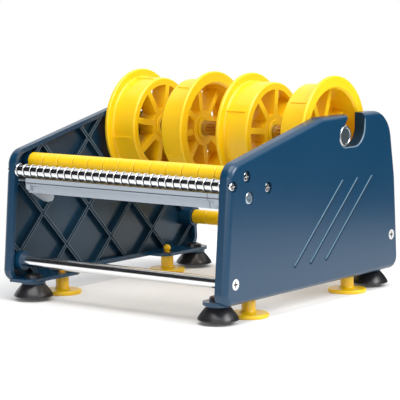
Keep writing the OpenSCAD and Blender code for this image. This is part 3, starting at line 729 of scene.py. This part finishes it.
def black_rubber():
    """Soft black rubber of the suction cups."""
    return moulded_plastic(
        "black_soft_rubber",
        "rubber",
        roughness=0.30,
        grain=900.0,
        tone=0.25,
        bump=0.05,
    )


# Metals


LINE_DEPTH = 0.0001

# How dark the lines of a metal are, and where its tone starts and ends to change
LINE_TONE = 0.92
LINE_RANGE = (0.3, 0.7)

# Lines of the metals: how many there are along and across x, and how far they change
# the gloss and raise the surface
PLATED_LINES = {"along": 25.0, "across": 1600.0, "change": 0.05}
TURNED_LINES = {"along": 900.0, "across": 60.0, "change": 0.10, "bump": 0.05}
SPUN_LINES = {"along": 400.0, "across": 400.0, "change": 0.12, "bump": 0.03}

# Painted shade in the corner beside a bar's rib: its distance from the rib in metres,
# and half its width and its soft edge as shares of the pitch
CORNER_OFF = 0.0003
CORNER_HALF = 0.05
CORNER_SOFT = 0.02


def drawn_metal(name, tint, *, roughness, along, across, change, bump):
    """Drawn, plated or ground metal with fine lines, in one of the colour settings."""
    material, n, shader = start_material(name)
    if n is None:
        return material
    lines = n.add("ShaderNodeGroup", node_tree=streak_group())
    set_inputs(
        lines,
        {"Along": along, "Across": across, "Roughness": roughness, "Change": change},
    )
    ramp = n.add("ShaderNodeValToRGB")
    plain = colour_of(tint)
    tones = (LINE_TONE, 1.0)
    for stop, position, tone in zip(ramp.color_ramp.elements, LINE_RANGE, tones):
        stop.position = position
        stop.color = (*(c * tone for c in plain), 1.0)
    n.link(lines.outputs["Mask"], ramp.inputs["Fac"])
    n.link(ramp.outputs["Color"], shader.inputs["Base Color"])
    n.link(lines.outputs["Roughness"], shader.inputs["Roughness"])
    shader.inputs["Metallic"].default_value = 1.0
    bumped(n, lines.outputs["Height"], shader, bump, LINE_DEPTH)
    return material


def plated_chrome():
    """Bright chrome of the guide rod and the screws."""
    return drawn_metal(
        "plated_chrome", "chrome", roughness=0.09, bump=0.015, **PLATED_LINES
    )


def satin_chrome():
    """Softer chrome of the lower tie bar."""
    return drawn_metal(
        "satin_chrome", "chrome", roughness=0.17, bump=0.02, **PLATED_LINES
    )


def ribbed_chrome():
    """Chrome with a line of painted shade in the corner beside each rib."""
    name = "ribbed_chrome"
    if name in bpy.data.materials:
        return bpy.data.materials[name]
    sizes = bpy.context.scene.dispenser_sizes
    material = drawn_metal(name, "chrome", roughness=0.09, bump=0.015, **PLATED_LINES)
    n = Nodes(material.node_tree)
    share = n.calc("FRACT", n.calc("DIVIDE", n.along("X"), sizes.rib_pitch))
    corner = (0.5 * sizes.rib_width + CORNER_OFF) / sizes.rib_pitch
    mask = line_mask(n, share, corner, CORNER_HALF, CORNER_SOFT)
    # Paints shade into the corner beside each rib
    tinted(n, material, mask, "corner")
    return material


def dark_chrome():
    """Painted dark reflection: darker chrome on the flat faces of the sunk screws."""
    return drawn_metal("dark_chrome", "dark_chrome", roughness=0.16, **SPUN_LINES)


def bright_recess():
    """Bright steel in the recesses of the sunk screws."""
    return drawn_metal("bright_recess", "chrome", roughness=0.5, **SPUN_LINES)


def shaded_recess():
    """Painted shade: dark steel colour in the recesses of the flush screws."""
    return drawn_metal("shaded_recess", "recess", roughness=0.45, **SPUN_LINES)


def zinc_plate():
    """Blue zinc of the guard's pivot screws."""
    return drawn_metal("blue_zinc_plate", "zinc", roughness=0.3, **SPUN_LINES)


def turned_steel():
    """Turned steel of the rods, the spindle's ends and the spring."""
    return drawn_metal("turned_steel", "steel", roughness=0.26, **TURNED_LINES)


def steel_with_painted_hub_reflection():
    """Turned steel of the spindle's rod, painted warm as a reflection of the yellow
    hubs.
    """
    return drawn_metal("warm_turned_steel", "rod", roughness=0.22, **TURNED_LINES)


def dull_steel():
    """Dull steel of the faces of the spindle's ends."""
    return drawn_metal(
        "dull_steel",
        "dull",
        roughness=0.5,
        along=300.0,
        across=300.0,
        change=0.06,
        bump=0.01,
    )


def blade_steel():
    """Ground steel of the serrated blade."""
    return drawn_metal(
        "ground_blade_steel",
        "blade",
        roughness=0.42,
        along=1800.0,
        across=90.0,
        change=0.12,
        bump=0.06,
    )


# Pieces


class DISPENSER_OT_side_plates(bpy.types.Operator):
    """Eases the moulded side plates and gives them their navy finishes, with painted
    highlights and painted shade.
    """

    bl_idname = "dispenser.side_plates"
    bl_label = "Side plates"

    def execute(self, context):
        sizes = context.scene.dispenser_sizes
        diamond = Vector((0.0, sizes.diamond_length, sizes.diamond_height))
        lean = diamond.normalized()
        for side in SIDES:
            node = side + "_side_plate"
            end = "spindle_end_" + side
            axis = centre_of(end)
            face = max(abs(corner[0]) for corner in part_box(end))
            web = face - sizes.web_thick
            rib_top = web - sizes.rib_height
            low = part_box(node)[0]

            def in_slot(point):
                """Whether a point lies in the reach of the spindle slot."""
                ahead = point.y - axis.y
                level = point.z > axis.z - sizes.slot_front
                return -sizes.slot_front < ahead < sizes.slot_rear and level

            def on_slot_rim(*ends):
                """Whether an edge is on the slot's rim, below or behind the spindle."""
                if not all(abs(abs(p.x) - face) < SAME_PLANE for p in ends):
                    return False
                return all(
                    in_slot(p) and (p.z < axis.z or p.y - axis.y > sizes.slot_front)
                    for p in ends
                )

            def finish_of(part):
                """Which of the plate's finishes a face has, by its place and normal;
                all but the plain one are painted highlight and shade.
                """
                spot, normal = part.center, part.normal
                depth, across = abs(spot.x), abs(normal.x)
                if depth > face + STRIPE_PROUD:
                    # A stripe's upper flank gets the painted highlight, its crown and
                    # lower flank painted shade
                    return STRIPE if normal.z > LIT_FLANK else SHADE
                if across < SLOT_WALL and in_slot(spot):
                    return SHADE
                if across > LEVEL_FACE:
                    if abs(depth - web) < SAME_PLANE:
                        return WEB
                    return RIB if abs(depth - rib_top) < SAME_PLANE else PLAIN
                slanted = abs(abs(normal.y) - lean.z) < RIB_LEAN and across < RIB_WALL
                within = spot.y > low[1] + LATTICE_FRONT and spot.z < LATTICE_TOP
                on_rib = rib_top - RIB_LIP < depth < web
                return SHADE if slanted and within and on_rib else PLAIN

            piece = merged_copy(node)
            paint(
                piece,
                navy_plastic(),
                navy_rim_highlight(),
                navy_painted_shade(),
                navy_web(),
                navy_rib(),
                navy_stripe(),
            )
            for part in piece.data.polygons:
                part.material_index = finish_of(part)
            # The slot's rim gets the pale navy of the painted highlight
            round_edges(piece, on_slot_rim, sizes.slot_round, RIM_HIGHLIGHT)
            rounded(piece, sizes.plate_round)
            settle(piece)
            finish_piece(piece, BODY_OF[node], "navy_plastic", node)
        return {"FINISHED"}


class DISPENSER_OT_core_hubs(bpy.types.Operator):
    """Eases the four spoked hubs and their bushes."""

    bl_idname = "dispenser.core_hubs"
    bl_label = "Core hubs"

    def execute(self, context):
        width = context.scene.dispenser_sizes.hub_round
        for k in STATIONS:
            eased_copy(f"core_hub_{k}", yellow_plastic(), "yellow_plastic", width)
            eased_copy(f"hub_bush_{k}", yellow_plastic(), "yellow_plastic", width)
        return {"FINISHED"}


class DISPENSER_OT_rollers(bpy.types.Operator):
    """Smooths the sleeves of the front and rear rollers."""

    bl_idname = "dispenser.rollers"
    bl_label = "Rollers"

    def execute(self, context):
        for end in ENDS:
            for side in SIDES:
                node = f"{end}_sleeves_{side}"
                eased_copy(node, yellow_plastic(), "yellow_plastic")
        return {"FINISHED"}


def looks_along(part):
    """Whether a face looks along the rods."""
    return abs(part.normal.x) > ROD_END


class DISPENSER_OT_bars(bpy.types.Operator):
    """Smooths the rods and bars between the plates."""

    bl_idname = "dispenser.bars"
    bl_label = "Bars and rods"

    def execute(self, context):
        sizes = context.scene.dispenser_sizes
        width = sizes.metal_round
        eased_copy("guide_rod", plated_chrome(), "chrome_bar", width)
        eased_copy("lower_tie_bar", satin_chrome(), "chrome_bar", width)
        eased_copy("ribbed_bar", ribbed_chrome(), "chrome_bar", sizes.rib_round)
        for node in ("front_roller_rod", "rear_rod"):
            eased_copy(node, turned_steel(), "steel", width)
        # The spindle rod carries a painted warm reflection of the hubs
        eased_copy("spindle_rod", steel_with_painted_hub_reflection(), "steel", width)
        for side in SIDES:
            node = "spindle_end_" + side
            end = eased_copy(node, turned_steel(), "chrome_bar", width)
            paint_faces(end, dull_steel(), looks_along)
        return {"FINISHED"}


class DISPENSER_OT_blade(bpy.types.Operator):
    """Gives the serrated blade its ground finish."""

    bl_idname = "dispenser.blade"
    bl_label = "Blade"

    def execute(self, context):
        width = context.scene.dispenser_sizes.blade_round
        eased_copy("cutter_blade", blade_steel(), "blade_steel", width)
        return {"FINISHED"}


class DISPENSER_OT_guard(bpy.types.Operator):
    """Eases the guard bar and its caps, and smooths its spring."""

    bl_idname = "dispenser.guard"
    bl_label = "Guard"

    def execute(self, context):
        width = context.scene.dispenser_sizes.guard_round
        eased_copy("guard_bar", grey_plastic(), "grey_guard", width)
        for side in SIDES:
            eased_copy("guard_cap_" + side, grey_plastic(), "grey_guard", width)
        eased_copy("guard_spring", turned_steel(), "steel", angle=SPRING_TURN)
        return {"FINISHED"}


def finish_recesses(piece, material, *on_axis):
    """Gives a finish to the recesses of screws that lie on the axes of some nodes."""
    sizes = bpy.context.scene.dispenser_sizes
    head = max(abs(point.co.x) for point in piece.data.vertices)
    axes = [centre_of(node) for node in on_axis]

    def in_recess(part):
        spot = part.center
        off = min(math.hypot(spot.y - axis.y, spot.z - axis.z) for axis in axes)
        depth = head - abs(spot.x)
        sunk = RECESS_LIP < depth < sizes.recess_depth + SAME_PLANE
        return sunk and off < sizes.recess_reach

    paint_faces(piece, material, in_recess)


class DISPENSER_OT_screws(bpy.types.Operator):
    """Finishes the screws of the rods, the tie bars and the guard."""

    bl_idname = "dispenser.screws"
    bl_label = "Screws"

    def execute(self, context):
        width = context.scene.dispenser_sizes.metal_round
        sunk = eased_copy("rod_screws", plated_chrome(), "chrome_bar", width)
        # The flat head faces get a painted dark reflection
        paint_faces(sunk, dark_chrome(), looks_along)
        rods = ("front_roller_rod", "ribbed_bar", "guide_rod")
        finish_recesses(sunk, bright_recess(), *rods)
        flush = eased_copy("tie_bar_screws", plated_chrome(), "chrome_bar", width)
        # The flush screws' recesses get painted shade
        finish_recesses(flush, shaded_recess(), "lower_tie_bar", "rear_rod")
        eased_copy("guard_pivot_screws", zinc_plate(), "zinc_screw", width)
        return {"FINISHED"}


class DISPENSER_OT_suction_cups(bpy.types.Operator):
    """Finishes the four rubber suction cups."""

    bl_idname = "dispenser.suction_cups"
    bl_label = "Suction cups"

    def execute(self, context):
        for end in ENDS:
            for side in SIDES:
                node = f"suction_cup_{end}_{side}"
                eased_copy(node, black_rubber(), "black_rubber")
        return {"FINISHED"}


class DISPENSER_OT_feet(bpy.types.Operator):
    """Finishes the four pull-up feet."""

    bl_idname = "dispenser.feet"
    bl_label = "Feet"

    def execute(self, context):
        for end in ENDS:
            for side in SIDES:
                eased_copy(f"foot_{end}_{side}", yellow_plastic(), "yellow_plastic")
        return {"FINISHED"}


# Studio


FLOOR_SIZE = 40.0
FLOOR_ROUGHNESS = 0.9

# Light that the floor gives off for the camera and mirrors, and the distances from the
# middle between which it fades to white
FLOOR_LIFT = 0.04
FLOOR_FADE = (0.16, 0.52)

# Strength of the world for the part, and for the camera and mirrors
WORLD_LEVELS = (0.56, 1.0)

# Soft lights: name, place, aim, size and power
LIGHTS = (
    ("top_light", (0.15, -0.35, 1.5), (0.0, 0.0, 0.05), (1.2, 1.2), 16.5),
    ("front_light", (0.3, -1.8, 0.5), (0.0, 0.0, 0.1), (0.9, 0.5), 4.5),
    ("right_light", (1.25, 0.12, 1.0), (0.0, 0.0, 0.09), (0.8, 0.8), 17.0),
)

# Dark cards: name, place, aim and size
CARDS = (
    ("card_front", (-1.15, -1.3, 0.92), (0.0, -0.1, 0.1), (3.0, 2.0)),
    ("card_right", (0.40, 0.33, 0.17), (0.1, 0.0, 0.17), (2.4, 0.335)),
)

# The camera: the point it is turned about, its turn round that point and above it in
# degrees, its distance, and its lens and sensor in millimetres
CAMERA_CENTRE = (0.0, -0.0036, 0.060)
CAMERA_AROUND = 35.918
CAMERA_ABOVE = 7.194
CAMERA_AWAY = 1.43597
CAMERA_LENS = 171.8
CAMERA_SENSOR = 36.0
CAMERA_SHIFT = (-0.0055, 0.0353)
CAMERA_RANGE = (0.05, 100.0)


def background_rays(n):
    """1 for rays of the camera, of mirrors and of clear things."""
    rays = n.add("ShaderNodeLightPath").outputs
    both = n.calc("ADD", rays["Is Camera Ray"], rays["Is Glossy Ray"], use_clamp=True)
    return n.calc("ADD", both, rays["Is Transmission Ray"], use_clamp=True)


def floor_material(tint):
    """Pale floor that keeps the shadow and fades to the white of the backdrop."""
    material, n, shader = start_material("studio_floor")
    if n is None:
        return material
    set_inputs(
        shader,
        {
            "Roughness": FLOOR_ROUGHNESS,
            "Specular IOR Level": 0.0,
            "Base Color": (*tint, 1.0),
        },
    )
    rays = background_rays(n)
    lift = n.add("ShaderNodeEmission")
    n.link(n.calc("MULTIPLY", rays, FLOOR_LIFT), lift.inputs["Strength"])
    near = n.add("ShaderNodeAddShader")
    n.link(shader.outputs[0], near.inputs[0])
    n.link(lift.outputs[0], near.inputs[1])
    reach = n.add("ShaderNodeVectorMath", operation="LENGTH")
    n.link(n.place(), reach.inputs[0])
    fade = n.ease(reach.outputs["Value"], FLOOR_FADE, (0.0, 1.0))
    white = n.add("ShaderNodeEmission")
    both = n.add("ShaderNodeMixShader")
    n.link(n.calc("MULTIPLY", fade, rays), both.inputs["Fac"])
    n.link(near.outputs[0], both.inputs[1])
    n.link(white.outputs[0], both.inputs[2])
    surface = material.node_tree.nodes["Material Output"].inputs["Surface"]
    n.link(both.outputs[0], surface)
    return material


def softbox(name, place, aim, size, power):
    """A rectangular soft light aimed at a point."""
    lamp = bpy.data.lights.new(name, "AREA")
    lamp.shape = "RECTANGLE"
    lamp.size, lamp.size_y = size
    lamp.energy = power
    light = bpy.data.objects.new(name, lamp)
    light.location = place
    light.rotation_mode = "QUATERNION"
    way = Vector(aim) - Vector(place)
    light.rotation_quaternion = way.to_track_quat("-Z", "Y")
    bpy.context.scene.collection.objects.link(light)


def dark_card(name, place, aim, size):
    """A dark card that only mirrors see, as a studio uses beside bright metal."""
    bpy.ops.object.select_all(action="DESELECT")
    bpy.ops.mesh.primitive_plane_add(size=1.0)
    card = bpy.context.active_object
    card.name = name
    way = Vector(aim) - Vector(place)
    turn = way.to_track_quat("Z", "Y").to_matrix().to_4x4()
    stretch = Matrix.Diagonal((*size, 1.0, 1.0))
    card.data.transform(Matrix.Translation(place) @ turn @ stretch)
    material, n, shader = start_material("dark_card")
    if n is not None:
        tint = (*colour_of("card"), 1.0)
        set_inputs(shader, {"Base Color": tint, "Roughness": 1.0})
    card.data.materials.append(material)
    card.visible_camera = False
    card.visible_diffuse = False
    card.visible_shadow = False


class DISPENSER_OT_studio(bpy.types.Operator):
    """Builds the pale floor, the world, the soft lights, the cards and the camera."""

    bl_idname = "dispenser.studio"
    bl_label = "Studio"

    def execute(self, context):
        scene = context.scene
        scene.view_settings.view_transform = "Standard"
        bpy.ops.object.select_all(action="DESELECT")
        bpy.ops.mesh.primitive_plane_add(size=FLOOR_SIZE)
        floor = context.active_object
        floor.name = "studio_floor"
        floor.data.materials.append(floor_material(colour_of("floor")))

        world = bpy.data.worlds.new("studio_world")
        world.use_nodes = True
        scene.world = world
        n = Nodes(world.node_tree)
        back = world.node_tree.nodes["Background"]
        back.inputs["Color"].default_value = (1.0, 1.0, 1.0, 1.0)
        level = n.ease(background_rays(n), (0.0, 1.0), WORLD_LEVELS, kind="LINEAR")
        n.link(level, back.inputs["Strength"])

        for light in LIGHTS:
            softbox(*light)
        for card in CARDS:
            dark_card(*card)

        lens = bpy.data.cameras.new("camera")
        lens.sensor_fit = "HORIZONTAL"
        lens.sensor_width = CAMERA_SENSOR
        lens.lens = CAMERA_LENS
        lens.shift_x, lens.shift_y = CAMERA_SHIFT
        lens.clip_start, lens.clip_end = CAMERA_RANGE
        camera = bpy.data.objects.new("camera", lens)
        around, above = math.radians(CAMERA_AROUND), math.radians(CAMERA_ABOVE)
        level = math.cos(above)
        back_way = Vector(
            (math.sin(around) * level, -math.cos(around) * level, math.sin(above))
        )
        camera.location = Vector(CAMERA_CENTRE) + back_way * CAMERA_AWAY
        camera.rotation_mode = "QUATERNION"
        camera.rotation_quaternion = (-back_way).to_track_quat("-Z", "Y")
        scene.collection.objects.link(camera)
        scene.camera = camera
        return {"FINISHED"}


# Add-on


OPERATORS = (
    DISPENSER_OT_side_plates,
    DISPENSER_OT_core_hubs,
    DISPENSER_OT_rollers,
    DISPENSER_OT_bars,
    DISPENSER_OT_blade,
    DISPENSER_OT_guard,
    DISPENSER_OT_screws,
    DISPENSER_OT_suction_cups,
    DISPENSER_OT_feet,
    DISPENSER_OT_studio,
)


class DISPENSER_PT_panel(bpy.types.Panel):
    """Lists the pieces and the settings of the dispenser."""

    bl_idname = "DISPENSER_PT_panel"
    bl_label = "Label dispenser"
    bl_space_type = "VIEW_3D"
    bl_region_type = "UI"
    bl_category = "Dispenser"

    def draw(self, context):
        for operator in OPERATORS:
            self.layout.operator(operator.bl_idname)
        for group in (context.scene.dispenser_colours, context.scene.dispenser_sizes):
            for key in group.bl_rna.properties.keys():
                if key not in ("rna_type", "name"):
                    self.layout.prop(group, key)


CLASSES = (DispenserColours, DispenserSizes) + OPERATORS + (DISPENSER_PT_panel,)


def register():
    for cls in CLASSES:
        bpy.utils.register_class(cls)
    bpy.types.Scene.dispenser_colours = PointerProperty(type=DispenserColours)
    bpy.types.Scene.dispenser_sizes = PointerProperty(type=DispenserSizes)


def unregister():
    del bpy.types.Scene.dispenser_sizes
    del bpy.types.Scene.dispenser_colours
    for cls in reversed(CLASSES):
        bpy.utils.unregister_class(cls)


def main():
    register()
    bpy.ops.dispenser.side_plates()
    bpy.ops.dispenser.core_hubs()
    bpy.ops.dispenser.rollers()
    bpy.ops.dispenser.bars()
    bpy.ops.dispenser.blade()
    bpy.ops.dispenser.guard()
    bpy.ops.dispenser.screws()
    bpy.ops.dispenser.suction_cups()
    bpy.ops.dispenser.feet()
    bpy.ops.dispenser.studio()


if __name__ == "__main__":
    main()
